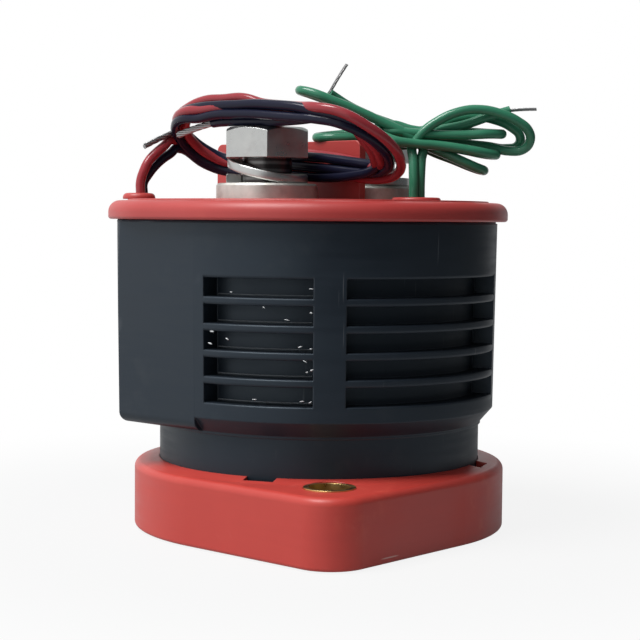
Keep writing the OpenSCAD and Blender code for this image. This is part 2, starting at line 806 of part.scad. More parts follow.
// Oval slab with two half-round ends, its long axis on X; an inner radius leaves it open
module oval(straight, outer_r, inner_r, h) {
    wide = outer_r - inner_r;
    for (turn = [0, 180]) rotate(turn) {
        translate([straight / 2, 0, 0]) rotate(-90) rotate_extrude(angle = 180)
            translate([inner_r, 0]) square([wide, h]);
        translate([-straight / 2, inner_r, 0]) cube([straight, wide, h]);
    }
}

module lead_coil() {
    color(lead_red) translate(coil_at) rotate(coil_turn[2]) rotate([coil_turn[1], -coil_turn[0], 0])
        translate([0, 0, -coil_section / 2])
            oval(2 * (coil_half_l - coil_half_w), coil_half_w + coil_section / 2,
                coil_half_w - coil_section / 2, coil_section);
}

module aux_lead_hank() {
    color(lead_green) translate(hank_at) rotate(hank_plan) rotate([90, hank_drop, 0])
        translate([0, 0, -hank_t / 2]) oval(hank_straight, hank_r, 0, hank_t);
}

// Stripped and tinned end of a lead
module tip(place, d) {
    color(tin) translate(place[0]) rotate([0, 90 - place[2], place[1]]) cylinder(d = d, h = place[3]);
}

module red_lead_tip() { tip(red_tip, coil_tip_d); }
module black_lead_tip() { tip(black_tip, coil_tip_d); }
module green_lead_a_tip() { tip(green_a_tip, aux_tip_d); }
module green_lead_b_tip() { tip(green_b_tip, aux_tip_d); }

mounting_base();
mounting_bushes();
housing();
top_cover();
coil_lead_grommet();
aux_lead_grommet();
positive_terminal();
negative_terminal();
terminal_bolts();
spring_washers();
yoke_cup();
yoke_top_plate();
coil_bobbin();
coil_winding();
coil_board();
plunger_guide_cup();
fixed_core();
plunger();
drive_shaft();
return_spring();
spring_seat();
contact_spring();
contact_bridge();
retaining_clip();
arc_chamber();
blowout_magnets();
magnet_clip();
aux_switch();
red_lead();
black_lead();
lead_coil();
red_lead_tip();
black_lead_tip();
green_lead_a();
green_lead_b();
aux_lead_hank();
green_lead_a_tip();
green_lead_b_tip();
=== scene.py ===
import math
import bmesh
import bpy
from mathutils import Matrix, Vector
from mathutils.geometry import convex_hull_2d, interpolate_bezier


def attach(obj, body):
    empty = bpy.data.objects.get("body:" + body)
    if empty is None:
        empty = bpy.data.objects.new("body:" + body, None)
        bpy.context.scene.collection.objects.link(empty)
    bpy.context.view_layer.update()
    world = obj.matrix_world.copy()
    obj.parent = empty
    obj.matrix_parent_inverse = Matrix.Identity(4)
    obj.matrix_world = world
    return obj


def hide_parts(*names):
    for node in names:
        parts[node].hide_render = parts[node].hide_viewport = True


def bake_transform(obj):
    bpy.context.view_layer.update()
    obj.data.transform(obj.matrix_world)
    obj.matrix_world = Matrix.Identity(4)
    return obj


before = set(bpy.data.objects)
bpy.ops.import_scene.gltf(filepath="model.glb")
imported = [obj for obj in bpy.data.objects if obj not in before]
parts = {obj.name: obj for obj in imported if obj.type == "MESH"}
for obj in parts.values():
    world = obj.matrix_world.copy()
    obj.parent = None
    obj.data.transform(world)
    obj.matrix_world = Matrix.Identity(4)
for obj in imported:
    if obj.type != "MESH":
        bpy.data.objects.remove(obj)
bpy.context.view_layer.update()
scene = bpy.context.scene
scene.view_settings.view_transform = "Standard"
mm = 0.001
print("frame loaded,", len(parts), "nodes")


def linkPiece(name, data):
    piece = bpy.data.objects.new(name, data)
    scene.collection.objects.link(piece)
    return piece


# camera, placed by its plan angle round the contactor's own axis

cameraSet = {
    "planAngle": 222.02,   # degrees from +X, seen from above
    "distance": 274.03,    # mm from the axis
    "height": 51.41,       # mm above the base face
    "pitchDown": 3.622,
    "roll": 0.485,
    "lens": 91.59,
}


def makeCamera(s):
    plan, pitch, roll = (math.radians(s[k]) for k in ("planAngle", "pitchDown", "roll"))
    out = Vector((math.cos(plan), math.sin(plan), 0))
    right = Vector((-out.y, out.x, 0))
    back = out * math.cos(pitch) + Vector((0, 0, math.sin(pitch)))
    up = back.cross(right)
    x = right * math.cos(roll) + up * math.sin(roll)
    y = up * math.cos(roll) - right * math.sin(roll)
    data = bpy.data.cameras.new("studioCamera")
    data.lens = s["lens"]
    data.sensor_width = 36
    data.clip_start = 0.01
    camera = linkPiece("studioCamera", data)
    turn = Matrix((x, y, back)).transposed().to_4x4()
    spot = (out * s["distance"] + Vector((0, 0, s["height"]))) * mm
    camera.matrix_world = Matrix.Translation(spot) @ turn
    scene.camera = camera


makeCamera(cameraSet)
print("camera placed")


# leads: the two coil leads go round in one flattened coil on the cover

coilSet = {
    "centre": (-10.9, -0.7, 64.2),
    "along": (-0.0868, 0.9924, 0.0872),     # long way of the coil
    "across": (-0.8676, -0.1183, 0.4830),   # towards its high side
    "straightHalf": 12.8,
    "endRadius": 8.2,
    "stepsPerTurn": 26,
    "leadD": 1.6,
}

redLeadSet = {
    "route": [(-21.8, 20.8, 55.15), (-21.8, 20.8, 57), (-21.3, 20.5, 58.9), (-20.4, 20.3, 60.5),
              (-19, 20, 61.9), (-17.3, 19.9, 63.1), (-15.6, 20, 64.2)],
    # turn, outwards, up
    "turns": [(0.05, 0.4, -2.6), (0.27, 0.9, -0.6), (0.36, 0.6, 0.2), (0.44, -2.4, 0.6), (0.5, -3.8, 0.5),
              (0.75, -2.2, -0.9), (0.9, -2, -1.4), (1, -1.8, -1.8), (1.27, 0.9, -0.4), (1.37, 1.1, -1.6),
              (1.44, 1.4, -1.2), (1.5, 1.5, -0.1), (1.6, 1, 1.2), (1.68, -0.4, 1.1), (1.73, -1, 1.2),
              (1.78, -0.9, 1.9), (1.84, -0.7, 1.3), (1.9, -0.6, -0.3), (1.95, -0.8, -1.2), (2, -0.9, -1.4),
              (2.27, 0.9, 1.6), (2.5, -2, -0.2), (2.75, -0.75, 0.4), (2.82, 0.6, 0.1), (2.88, 0.5, -0.9),
              (2.93, -0.2, -1.5)],
    "foot": (-14.6, 18.9, 65.9),
}

blackLeadSet = {
    "route": [(-20.3, 21.8, 55.15), (-20.3, 21.8, 56.8), (-19.6, 21.4, 58.2), (-18.5, 20.9, 59.7),
              (-17.1, 20.6, 60.9), (-15.5, 20.3, 61.9), (-14, 20.3, 62.8)],
    "turns": [(0.05, -0.3, -3.4), (0.27, -0.7, 1.2), (0.5, -0.6, 0.5), (0.6, 0, 0.4), (0.68, 0.7, 1.1),
              (0.75, 0.8, 1), (0.8, 0.7, 0.5), (0.86, 0.3, -0.1), (0.92, -0.6, -1), (1, -1.2, -1),
              (1.27, -0.7, -0.5), (1.5, -0.4, -0.6), (1.75, 0.9, -0.6), (1.8, 0.9, -0.9), (1.87, 0.5, -2),
              (2, -0.6, -3), (2.27, -0.7, -2.1), (2.5, -1.8, 1.1), (2.75, -0.55, -1.6), (2.82, -0.5, -2.2)],
    "foot": (-18, 7.4, 66.5),
}

hankSet = {"along": (0.6730, -0.7396, 0), "out": (-0.7396, -0.6730, 0), "leadD": 1.6}

greenLeadASet = {
    "route": [(6.8, -14.4, 54.75), (6.8, -14.4, 57), (7.1, -14.1, 59), (7.6, -13.6, 61), (8.2, -12.9, 63.2)],
    # along the hank, height, out to the front
    "folds": [(16.4, 65.2, 2.7), (19.2, 67.4, 2.6), (22.8, 69, 2.6), (26, 69.4, 2.6), (29.5, 68.8, 2.5),
              (32.6, 67.5, 2.2), (34.5, 65.9, 1.6), (34.8, 64.3, 0.9), (33.8, 63, 0.2), (31.6, 62.7, -0.3),
              (28, 63.4, -0.6), (24, 63.8, -0.6), (19, 64.2, -0.2), (13, 64.8, 0.6), (8, 64.8, 1.2),
              (3.4, 64.6, 1.6), (1, 64.6, 1.2), (-0.8, 64.7, -0.6), (0.4, 65, -2.5), (3, 65.3, -3),
              (6, 65.6, -2.6), (10, 65.6, -1.9), (15, 64.4, -1.4), (19, 62.8, 1), (22.4, 61.3, 2.2),
              (25.4, 60, 2.1), (27.3, 59.4, -0.2), (26, 59.8, -2.3), (22.5, 61.2, -3), (18, 63, -3.6),
              (14, 65.4, -3), (9, 67.9, -0.3), (4.5, 70, -0.2), (2.2, 71.4, 0.3), (1.24, 72, 0.86)],
}

greenLeadBSet = {
    "route": [(8.4, -14.5, 54.75), (8.4, -14.5, 57), (8.6, -14.4, 59), (9, -14.2, 61), (9.6, -13.9, 63.2)],
    "folds": [(14.2, 65.2, 2.4), (10.5, 67, 2.2), (6, 69, 2.2), (1.5, 70.8, 2.3), (-1.4, 71.9, 1.9),
              (-3.7, 72.5, -0.1), (-2, 72.1, -2.3), (1.5, 70.9, -2.8), (6, 69.2, -2.8), (11, 67.4, -2.4),
              (15.5, 66, -1.9), (19, 66.6, -1.3), (22.6, 68, -0.9), (26, 68.4, -0.8), (29.2, 67.9, -0.8),
              (31.9, 66.7, -0.9), (33.4, 65.2, -1.2), (33.1, 63.7, -1.8), (31.2, 63.2, -2.4),
              (28, 63.6, -2.8), (24, 64, -2.9), (19, 64.6, -3), (14, 65.2, -2.8),
              (11.4, 65.6, -1.9), (9.9, 65.8, 0),
              (11.4, 65.8, 2), (14.5, 65.5, 2.4), (19, 65.2, 2.2), (24, 65.2, 2.3), (27.8, 65.4, 2.2),
              (30.2, 65.5, 0.2), (28.4, 65.7, -2), (25, 65.9, -2.2), (22, 65.9, -0.8), (19, 65.7, 0.2),
              (15, 66.1, 0.2), (11.8, 66.9, 0), (9.2, 66, 1.9), (11.2, 64.4, 3.9), (15.5, 63.6, 3.8),
              (19, 63.4, 3.4), (23, 62.9, 3.3), (26.8, 62.3, 2.6), (29.2, 62, 0.5), (27.6, 62.2, -1.8),
              (24.5, 62.8, -2), (20, 63.5, -1.9), (16, 63.8, -2.3), (12, 63.4, -2.4), (9.4, 63.2, -1.6),
              (8.6, 63.3, 0.2), (10, 63.6, 1.8), (13, 64.3, 1.8), (16, 65, 1), (19.5, 66, 0.7), (24, 67, 0.8),
              (28, 68.4, 0.9), (31.4, 69.4, 0.86)],
}


def easedKey(keys, turn):
    for a, b in zip(keys, keys[1:]):
        if turn <= b[0]:
            t = max(0, (turn - a[0]) / (b[0] - a[0]))
            t = t * t * (3 - 2 * t)
            return a[1] + (b[1] - a[1]) * t, a[2] + (b[2] - a[2]) * t
    return keys[-1][1:]


def coilPoint(turn, outwards, lift):
    s = coilSet
    half, r = s["straightHalf"], s["endRadius"]
    along, across = Vector(s["along"]), Vector(s["across"])
    way = (turn % 1) * (4 * half + 2 * math.pi * r) - math.pi * r / 2
    if way < 0:
        a = (way + math.pi * r / 2) / r
        p, q, nx, ny = half + r * math.cos(a), -r * math.sin(a), math.cos(a), -math.sin(a)
    elif way < 2 * half:
        p, q, nx, ny = half - way, -r, 0, -1
    elif way < 2 * half + math.pi * r:
        a = (way - 2 * half) / r
        p, q, nx, ny = -half - r * math.sin(a), -r * math.cos(a), -math.sin(a), -math.cos(a)
    elif way < 4 * half + math.pi * r:
        p, q, nx, ny = way - 3 * half - math.pi * r, r, 0, 1
    else:
        a = (way - 4 * half - math.pi * r) / r
        p, q, nx, ny = half + r * math.sin(a), r * math.cos(a), math.sin(a), math.cos(a)
    side = along * nx + across * ny
    side.z = 0
    side.normalize()
    return Vector(s["centre"]) + along * p + across * q + side * outwards + Vector((0, 0, lift))


def coilPath(s):
    first, last = s["turns"][0][0], s["turns"][-1][0]
    count = round((last - first) * coilSet["stepsPerTurn"])
    turns = [first + (last - first) * i / count for i in range(count + 1)]
    wound = [coilPoint(t, *easedKey(s["turns"], t)) for t in turns]
    return [Vector(p) for p in s["route"]] + wound + [Vector(s["foot"])]


def hankPath(s):
    along, out = Vector(hankSet["along"]), Vector(hankSet["out"])
    folds = [along * a + out * o + Vector((0, 0, z)) for a, z, o in s["folds"]]
    return [Vector(p) for p in s["route"]] + folds


tubeSet = {"sideSteps": 5, "lengthSteps": 6, "pathSteps": 7}    # fineness of a lead's mesh and of its path


def makeLead(name, path, diameter, replaced):
    data = bpy.data.curves.new(name, "CURVE")
    data.dimensions = "3D"
    data.bevel_depth = diameter / 2 * mm
    data.bevel_resolution = tubeSet["sideSteps"]
    data.resolution_u = tubeSet["lengthSteps"]
    data.use_fill_caps = True
    spline = data.splines.new("BEZIER")
    spline.bezier_points.add(len(path) - 1)
    for knot, p in zip(spline.bezier_points, path):
        knot.co = p * mm
        knot.handle_left_type = knot.handle_right_type = "AUTO"
    maker = linkPiece(name + "Maker", data)
    bpy.context.view_layer.update()
    knots, line = spline.bezier_points, []
    for a, b in zip(knots, knots[1:]):
        line += interpolate_bezier(a.co, a.handle_right, b.handle_left, b.co, tubeSet["pathSteps"])[:-1]
    line.append(knots[-1].co.copy())
    shot = maker.evaluated_get(bpy.context.evaluated_depsgraph_get())
    tube = bpy.data.meshes.new_from_object(shot)
    tube.name = name
    length = spline.calc_length()
    bpy.data.objects.remove(maker)
    piece = linkPiece(name, tube)
    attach(piece, "contactor")
    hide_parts(*replaced)
    print(name, "laid,", round(length * 1000), "mm")
    return piece, length, [tuple(p) for p in line]


leads = {
    "redCoilLead": (coilPath(redLeadSet), coilSet["leadD"], ["red_lead", "lead_coil"], "lead_red"),
    "blackCoilLead": (coilPath(blackLeadSet), coilSet["leadD"], ["black_lead"], "lead_black"),
    "greenLeadA": (hankPath(greenLeadASet), hankSet["leadD"], ["green_lead_a", "aux_lead_hank"],
                   "lead_green"),
    "greenLeadB": (hankPath(greenLeadBSet), hankSet["leadD"], ["green_lead_b"], "lead_green"),
}
made = {}
for name, (path, diameter, replaced, slot) in leads.items():
    made[name] = makeLead(name, path, diameter, replaced)
print("leads laid")


# node helpers for shader and geometry trees

def mathNode(tree, operation, *values):
    node = tree.nodes.new("ShaderNodeMath")
    node.operation = operation
    for slot, value in enumerate(values):
        if isinstance(value, (int, float)):
            node.inputs[slot].default_value = value
        else:
            tree.links.new(value, node.inputs[slot])
    return node.outputs[0]


def rangeNode(tree, value, low, high, toLow=0.0, toHigh=1.0):
    node = tree.nodes.new("ShaderNodeMapRange")
    node.interpolation_type = "SMOOTHSTEP"
    tree.links.new(value, node.inputs["Value"])
    for key, number in (("From Min", low), ("From Max", high), ("To Min", toLow), ("To Max", toHigh)):
        if isinstance(number, (int, float)):
            node.inputs[key].default_value = number
        else:
            tree.links.new(number, node.inputs[key])
    return node.outputs["Result"]


# floor, backdrop and light

studioSet = {
    "floorRadius": 0.16,
    "floorDrop": 0.0002,                  # m below the base
    "floorTone": (0.42, 0.42, 0.42, 1),
    "floorRough": 0.9,
    "floorGloss": 0.1,
    "floorWhite": (0.88, 1.0),            # white share near the object and away from it
    "floorFade": (0.05, 0.13),            # m from the axis
    "floorMirror": 0.3,                   # white share in a mirror
    "brightSide": (-0.48, 0.832, 0.28),   # where the white wall stands
    "shadeEdge": (-0.06, 0.2),            # how the wall runs out into the dim room
    "ceiling": (0.42, 0.85, 1.0, 0.3),    # from this rise on the light falls off to a share
    "farSide": (0.927, 0.375, 0),         # a paler stretch behind, for the rim light
    "farEdge": (0.90, 0.985),
    "farShare": 0.3,
    "dimLight": 0.122,
    "brightLight": 0.95,
    "coolTint": (0.92, 0.965, 1.0, 1),
}


def makeWorld(s):
    world = bpy.data.worlds.new("whiteRoom")
    scene.world = world
    world.use_nodes = True
    tree = world.node_tree
    tree.nodes.clear()
    n, link = tree.nodes.new, tree.links.new
    coord = n("ShaderNodeTexCoord")
    shares = []
    for way, edge, share in (("brightSide", "shadeEdge", 1.0), ("farSide", "farEdge", s["farShare"])):
        face = n("ShaderNodeVectorMath")
        face.operation = "DOT_PRODUCT"
        face.inputs[1].default_value = Vector(s[way]).normalized()
        link(coord.outputs["Generated"], face.inputs[0])
        shares.append(rangeNode(tree, face.outputs["Value"], *s[edge], 0.0, share))
    side = mathNode(tree, "MAXIMUM", *shares)
    split = n("ShaderNodeSeparateXYZ")
    link(coord.outputs["Generated"], split.inputs[0])
    side = mathNode(tree, "MULTIPLY", side, rangeNode(tree, split.outputs["Z"], *s["ceiling"]))
    level = mathNode(tree, "MULTIPLY_ADD", side, s["brightLight"] - s["dimLight"], s["dimLight"])
    room, white = n("ShaderNodeBackground"), n("ShaderNodeBackground")
    room.inputs["Color"].default_value = s["coolTint"]
    white.inputs["Color"].default_value = (1, 1, 1, 1)
    path, pick, out = n("ShaderNodeLightPath"), n("ShaderNodeMixShader"), n("ShaderNodeOutputWorld")
    mirrored = mathNode(tree, "MAXIMUM", path.outputs["Is Glossy Ray"], path.outputs["Is Transmission Ray"])
    mirrored = mathNode(tree, "MULTIPLY", mirrored, side)
    link(level, room.inputs["Strength"])
    link(mathNode(tree, "MAXIMUM", path.outputs["Is Camera Ray"], mirrored), pick.inputs["Fac"])
    link(room.outputs[0], pick.inputs[1])
    link(white.outputs[0], pick.inputs[2])
    link(pick.outputs[0], out.inputs["Surface"])


def makeFloor(s):
    shape = bmesh.new()
    bmesh.ops.create_circle(shape, cap_ends=True, segments=96, radius=s["floorRadius"])
    data = bpy.data.meshes.new("studioFloor")
    shape.to_mesh(data)
    shape.free()
    floor = linkPiece("studioFloor", data)
    floor.location.z = -s["floorDrop"]
    material = bpy.data.materials.new("paleFloor")
    material.use_nodes = True
    tree = material.node_tree
    n, link = tree.nodes.new, tree.links.new
    paint = tree.nodes["Principled BSDF"]
    paint.inputs["Base Color"].default_value = s["floorTone"]
    paint.inputs["Roughness"].default_value = s["floorRough"]
    paint.inputs["Specular IOR Level"].default_value = s["floorGloss"]
    glow, path, pick = n("ShaderNodeEmission"), n("ShaderNodeLightPath"), n("ShaderNodeMixShader")
    reach = n("ShaderNodeVectorMath")
    reach.operation = "LENGTH"
    link(n("ShaderNodeTexCoord").outputs["Object"], reach.inputs[0])
    share = rangeNode(tree, reach.outputs["Value"], *s["floorFade"], *s["floorWhite"])
    mirrored = mathNode(tree, "MAXIMUM", path.outputs["Is Glossy Ray"], path.outputs["Is Transmission Ray"])
    mirrored = mathNode(tree, "MULTIPLY", mirrored, s["floorMirror"])
    seen = mathNode(tree, "MAXIMUM", path.outputs["Is Camera Ray"], mirrored)
    link(mathNode(tree, "MULTIPLY", seen, share), pick.inputs["Fac"])
    link(paint.outputs[0], pick.inputs[1])
    link(glow.outputs[0], pick.inputs[2])
    link(pick.outputs[0], tree.nodes["Material Output"].inputs["Surface"])
    data.materials.append(material)


lampSet = {
    "windowLight": {"plan": 165, "rise": 62, "away": 0.6, "aimHeight": 0.04, "size": (0.26, 0.26),
                    "power": 3.7},
}


def makeLamp(name, s):
    data = bpy.data.lights.new(name, "AREA")
    data.shape = "RECTANGLE"
    data.size, data.size_y = s["size"]
    data.energy = s["power"]
    lamp = linkPiece(name, data)
    plan, rise = math.radians(s["plan"]), math.radians(s["rise"])
    way = Vector((math.cos(plan) * math.cos(rise), math.sin(plan) * math.cos(rise), math.sin(rise)))
    lamp.location = way * s["away"] + Vector((0, 0, s["aimHeight"]))
    lamp.rotation_euler = way.to_track_quat("Z", "Y").to_euler()


makeWorld(studioSet)
makeFloor(studioSet)
for name, s in lampSet.items():
    makeLamp(name, s)
print("floor and light set")


# shader groups shared by the finishes

def newGroup(name, inputs, outputs):
    group = bpy.data.node_groups.new(name, "ShaderNodeTree")
    for label, kind, value in inputs:
        socket = group.interface.new_socket(label, in_out="INPUT", socket_type="NodeSocket" + kind)
        if value is not None:
            socket.default_value = value
    for label, kind in outputs:
        group.interface.new_socket(label, in_out="OUTPUT", socket_type="NodeSocket" + kind)
    return group, group.nodes.new("NodeGroupInput"), group.nodes.new("NodeGroupOutput")


def noiseNode(tree, vector, scale, detail=3.0, roughness=0.55):
    node = tree.nodes.new("ShaderNodeTexNoise")
    node.inputs["Detail"].default_value = detail
    node.inputs["Roughness"].default_value = roughness
    tree.links.new(vector, node.inputs["Vector"])
    if isinstance(scale, (int, float)):
        node.inputs["Scale"].default_value = scale
    else:
        tree.links.new(scale, node.inputs["Scale"])
    return node.outputs["Fac"]


skinSet = {
    "slowScale": 55.0,
    "streakScale": (60, 60, 900),    # flow lines lie level
    "blotScale": 190.0,
    "blotEdge": (0.52, 0.70),
    "blotWhere": (0.45, 0.6),        # only where the slow mottling is high
}


def mouldSkinGroup():
    # spark-eroded mould texture, flow streaks and slow mottling
    inputs = [("Place", "Vector", None), ("Grain", "Float", 2600.0), ("Flow", "Float", 0.4)]
    outputs = [("Tone", "Float"), ("Height", "Float"), ("Patch", "Float")]
    group, start, end = newGroup("mouldSkin", inputs, outputs)
    place, grain, flow = start.outputs[0], start.outputs[1], start.outputs[2]
    fine = noiseNode(group, place, grain, 2.0, 0.6)
    slow = noiseNode(group, place, skinSet["slowScale"], 3.0)
    squeeze = group.nodes.new("ShaderNodeMapping")
    squeeze.inputs["Scale"].default_value = skinSet["streakScale"]
    group.links.new(place, squeeze.inputs["Vector"])
    streak = noiseNode(group, squeeze.outputs[0], 1.0, 3.0)
    swing = mathNode(group, "MULTIPLY", mathNode(group, "SUBTRACT", streak, 0.5), flow)
    group.links.new(mathNode(group, "ADD", slow, swing), end.inputs["Tone"])
    ridges = mathNode(group, "MULTIPLY", streak, flow)
    group.links.new(mathNode(group, "ADD", fine, ridges), end.inputs["Height"])
    blot = rangeNode(group, noiseNode(group, place, skinSet["blotScale"], 4.0, 0.6), *skinSet["blotEdge"])
    where = rangeNode(group, slow, *skinSet["blotWhere"])
    group.links.new(mathNode(group, "MULTIPLY", blot, where), end.inputs["Patch"])
    return group


handlingSet = {
    "cloudScale": 130.0,
    "speckScale": 1500.0,
    "scratchTurn": (0.5, 0.9, 0.35),
    "scratchScale": (2200, 90, 70),
    "scratchSpread": 90.0,
}


def handlingGroup():
    # pale scuffs and dust that handling leaves
    inputs = [("Place", "Vector", None), ("Spread", "Float", 0.6), ("Scratch", "Float", 0.5)]
    group, start, end = newGroup("handlingMarks", inputs, [("Mask", "Float"), ("Lines", "Float")])
    place, spread, scratch = start.outputs[0], start.outputs[1], start.outputs[2]
    cloud = noiseNode(group, place, handlingSet["cloudScale"], 5.0, 0.65)
    speck = noiseNode(group, place, handlingSet["speckScale"], 2.0, 0.5)
    low = mathNode(group, "SUBTRACT", 0.78, mathNode(group, "MULTIPLY", spread, 0.25))
    clouds, specks = rangeNode(group, cloud, low, 0.85), rangeNode(group, speck, 0.35, 0.75)
    group.links.new(mathNode(group, "MULTIPLY", clouds, specks), end.inputs["Mask"])
    turned = group.nodes.new("ShaderNodeMapping")
    turned.inputs["Rotation"].default_value = handlingSet["scratchTurn"]
    turned.inputs["Scale"].default_value = handlingSet["scratchScale"]
    group.links.new(place, turned.inputs["Vector"])
    line = noiseNode(group, turned.outputs[0], 1.0, 1.0)
    keep = rangeNode(group, noiseNode(group, place, handlingSet["scratchSpread"], 2.0), 0.5, 0.62)
    lines = mathNode(group, "MULTIPLY", rangeNode(group, line, 0.70, 0.78), keep)
    group.links.new(mathNode(group, "MULTIPLY", lines, scratch), end.inputs["Lines"])
    return group


edgeSet = {"samples": 8, "span": (0.99, 0.80)}    # how far the normal turns from no edge to a full one


def softEdgeGroup():
    # rounded look on sharp edges, and where those edges are
    outputs = [("Normal", "Vector"), ("Edge", "Float")]
    group, start, end = newGroup("softEdge", [("Radius", "Float", 0.0003)], outputs)
    bevel = group.nodes.new("ShaderNodeBevel")
    bevel.samples = edgeSet["samples"]
    group.links.new(start.outputs["Radius"], bevel.inputs["Radius"])
    flat = group.nodes.new("ShaderNodeNewGeometry")
    dot = group.nodes.new("ShaderNodeVectorMath")
    dot.operation = "DOT_PRODUCT"
    group.links.new(bevel.outputs[0], dot.inputs[0])
    group.links.new(flat.outputs["Normal"], dot.inputs[1])
    group.links.new(bevel.outputs[0], end.inputs["Normal"])
    group.links.new(rangeNode(group, dot.outputs["Value"], *edgeSet["span"]), end.inputs["Edge"])
    return group


platedSet = {"turningScale": (0.12, 0.12, 3.0), "toneScale": 420.0, "cloudScale": 170.0}


def platedGroup():
    # fine turning marks and a slow tarnish
    inputs = [("Place", "Vector", None), ("Grain", "Float", 900.0)]
    outputs = [("Tone", "Float"), ("Height", "Float"), ("Tarnish", "Float")]
    group, start, end = newGroup("platedMetal", inputs, outputs)
    place, grain = start.outputs[0], start.outputs[1]
    squeeze = group.nodes.new("ShaderNodeMapping")
    squeeze.inputs["Scale"].default_value = platedSet["turningScale"]
    group.links.new(place, squeeze.inputs["Vector"])
    group.links.new(noiseNode(group, squeeze.outputs[0], grain, 2.0), end.inputs["Height"])
    group.links.new(noiseNode(group, place, platedSet["toneScale"], 4.0, 0.6), end.inputs["Tone"])
    cloud = noiseNode(group, place, platedSet["cloudScale"], 5.0, 0.65)
    group.links.new(rangeNode(group, cloud, 0.5, 0.75), end.inputs["Tarnish"])
    return group


mouldSkin = mouldSkinGroup()
handlingMarks = handlingGroup()
softEdge = softEdgeGroup()
platedMetal = platedGroup()
print("shader groups built")


# finishes

toneSpan = (0.3, 0.7)      # the mottling's range that roughness follows
plasticDepth = 0.00005     # m, depth of the grain
metalDepth = 0.00004       # also the leads'


def newFinish(name, **values):
    material = bpy.data.materials.new(name)
    material.use_nodes = True
    tree = material.node_tree
    shader = tree.nodes["Principled BSDF"]
    for key, value in values.items():
        shader.inputs[key].default_value = value
    place = tree.nodes.new("ShaderNodeTexCoord").outputs["Object"]
    return material, tree, shader, place


def useGroup(tree, group, place=None, **values):
    node = tree.nodes.new("ShaderNodeGroup")
    node.node_tree = group
    if place is not None:
        tree.links.new(place, node.inputs["Place"])
    for key, value in values.items():
        node.inputs[key].default_value = value
    return node.outputs


def mixTone(tree, factor, a, b):
    node = tree.nodes.new("ShaderNodeMix")
    node.data_type = "RGBA"
    for slot, value in ((0, factor), (6, a), (7, b)):
        if isinstance(value, (int, float, tuple)):
            node.inputs[slot].default_value = value
        else:
            tree.links.new(value, node.inputs[slot])
    return node.outputs[2]


def bumpNormal(tree, height, strength, distance, base=None):
    bump = tree.nodes.new("ShaderNodeBump")
    bump.inputs["Strength"].default_value = strength
    bump.inputs["Distance"].default_value = distance
    tree.links.new(height, bump.inputs["Height"])
    if base is not None:
        tree.links.new(base, bump.inputs["Normal"])
    return bump.outputs[0]


def nickMask(tree, place, s):
    # one straight scratch: how near a point is to it along, across and in depth
    apart = tree.nodes.new("ShaderNodeVectorMath")
    apart.operation = "SUBTRACT"
    tree.links.new(place, apart.inputs[0])
    apart.inputs[1].default_value = Vector(s["middle"]) * mm
    mask = None
    for axis, size in (("along", "halfLength"), ("across", "halfWidth"), ("depth", "halfDepth")):
        half = s[size] * mm
        dot = tree.nodes.new("ShaderNodeVectorMath")
        dot.operation = "DOT_PRODUCT"
        tree.links.new(apart.outputs[0], dot.inputs[0])
        dot.inputs[1].default_value = Vector(s[axis]).normalized()
        near = rangeNode(tree, mathNode(tree, "ABSOLUTE", dot.outputs["Value"]), half, half * s["core"])
        mask = near if mask is None else mathNode(tree, "MULTIPLY", mask, near)
    return mask


def mouldedPlastic(name, s):
    material, tree, shader, place = newFinish(name, IOR=1.5)
    shader.inputs["Specular IOR Level"].default_value = s["gloss"]
    shader.inputs["Specular Tint"].default_value = s.get("glossTint", (1, 1, 1, 1))
    skin = useGroup(tree, mouldSkin, place, Grain=s["grain"], Flow=s["flow"])
    marks = useGroup(tree, handlingMarks, place, Spread=s["dust"], Scratch=s["scratch"])
    edge = useGroup(tree, softEdge, Radius=s["edge"])
    body = mixTone(tree, skin["Tone"], s["dark"], s["light"])
    body = mixTone(tree, mathNode(tree, "MULTIPLY", skin["Patch"], s["blotShow"]), body, s["blot"])
    # edges are mixed towards a lighter tone: partly wear, partly a painted sheen along the edges
    wornAndSheen = mixTone(tree, mathNode(tree, "MULTIPLY", edge["Edge"], s["edgeWearAndSheen"]), body, s["wornAndSheen"])
    dusty = mathNode(tree, "MULTIPLY", marks["Mask"], s["dustShow"])
    pale = mathNode(tree, "MAXIMUM", dusty, marks["Lines"])
    if "nick" in s:
        pale = mathNode(tree, "MAXIMUM", pale, nickMask(tree, place, s["nick"]))
    tree.links.new(mixTone(tree, pale, wornAndSheen, s["pale"]), shader.inputs["Base Color"])
    rough = rangeNode(tree, skin["Tone"], *toneSpan, *s["rough"])
    dull = mathNode(tree, "MULTIPLY", dusty, s["dustRough"])
    tree.links.new(mathNode(tree, "ADD", rough, dull), shader.inputs["Roughness"])
    bump = bumpNormal(tree, skin["Height"], s["bump"], plasticDepth, edge["Normal"])
    tree.links.new(bump, shader.inputs["Normal"])
    return material


# in these sets the edge tone and its share are partly wear and partly a painted sheen along the edges
redBaseSet = {
    "dark": (0.49, 0.042, 0.032, 1), "light": (0.60, 0.060, 0.044, 1), "wornAndSheen": (0.66, 0.12, 0.10, 1),
    "pale": (0.75, 0.42, 0.38, 1), "blot": (0.72, 0.15, 0.09, 1), "blotShow": 0.22,
    "edgeWearAndSheen": 0.4, "dust": 0.7, "dustShow": 0.28, "dustRough": 0.2, "scratch": 0.35,
    "grain": 2600.0, "flow": 0.35, "rough": (0.34, 0.46), "gloss": 0.5, "bump": 0.12, "edge": 0.0003,
}
nickSet = {
    "middle": (-18.4, -31, 0.95), "along": (1, 0, 0), "across": (0, 0, 1), "depth": (0, 1, 0),
    "halfLength": 2.4, "halfWidth": 0.13, "halfDepth": 1.5, "core": 0.4,
}
redCoverSet = dict(redBaseSet, dark=(0.39, 0.039, 0.036, 1), light=(0.49, 0.054, 0.048, 1), dustShow=0.16,
                   blotShow=0.08)
